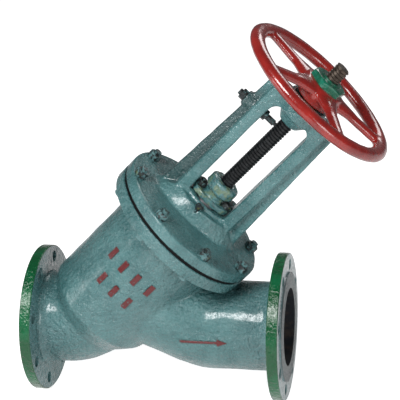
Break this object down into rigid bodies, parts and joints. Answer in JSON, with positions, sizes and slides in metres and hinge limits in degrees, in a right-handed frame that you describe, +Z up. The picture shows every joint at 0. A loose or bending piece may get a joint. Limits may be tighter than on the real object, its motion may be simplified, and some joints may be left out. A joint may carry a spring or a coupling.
{
  "type": "y-pattern globe valve",
  "caption": "Flanged Y-pattern globe valve with a leaning outside-screw yoke, rising stem and spoked handwheel.",
  "frame": {"origin": "centre of the inlet flange's raised face", "axes": "+X along the pipe towards the outlet, +Z up, stem leaning 45 degrees towards the outlet in the XZ plane"},
  "size_m": [0.6861, 0.333, 0.7306],
  "materials": {
    "casting_paint": "glossy blue-grey enamel over rough casting",
    "mark_red": "brushed-on red paint on raised marks",
    "bronze": "machined bronze",
    "machined_iron": "machined cast iron",
    "stainless": "ground stainless steel",
    "stem_steel": "dark oiled steel thread",
    "graphite": "dark graphite sheet and packing",
    "bolt_steel": "steel fasteners partly painted over",
    "wheel_red": "glossy red enamel",
    "nut_green": "glossy green enamel"
  },
  "bodies": {
    "valve_body": {"body": "casting_paint", "cast_marks": "mark_red", "seat_ring": "bronze", "backseat_bush": "bronze", "bonnet_gasket": "graphite", "bonnet_yoke": "casting_paint", "packing_rings": "graphite", "gland_follower": "bronze", "gland_flange": "casting_paint", "gland_studs": "bolt_steel", "gland_nuts": "bolt_steel", "stuffing_box_plug": "bolt_steel", "thrust_washers": "bronze", "sleeve_ring_nut": "bolt_steel", "bonnet_bolts": "bolt_steel", "bonnet_nuts": "bolt_steel", "guide_screw": "bolt_steel", "guide_screw_nuts": "bolt_steel"},
    "handwheel_set": {"handwheel": "wheel_red", "yoke_sleeve": "bronze", "wheel_key": "bolt_steel", "wheel_nut": "nut_green"},
    "stem": {"stem": "stem_steel"},
    "disc_set": {"valve_disc": "machined_iron", "disc_facing": "stainless", "disc_retainer": "machined_iron"}
  },
  "joints": [
    {"name": "handwheel_turn", "type": "hinge", "parent": "valve_body", "child": "handwheel_set", "pos_m": [0.5654, 0, 0.4674], "axis": [0.7071, 0, 0.7071], "range_deg": [0, 2400]},
    {"name": "stem_rise", "type": "slide", "parent": "valve_body", "child": "stem", "axis": [0.7071, 0, 0.7071], "range_m": [0, 0.04]},
    {"name": "disc_swivel", "type": "hinge", "parent": "stem", "child": "disc_set", "pos_m": [0.1581, 0, 0.0601], "axis": [0.7071, 0, 0.7071], "continuous": true}
  ],
  "couplings": [
    {"joint": "stem_rise", "follows": "handwheel_turn", "m_per_rad": 0.00095493}
  ]
}
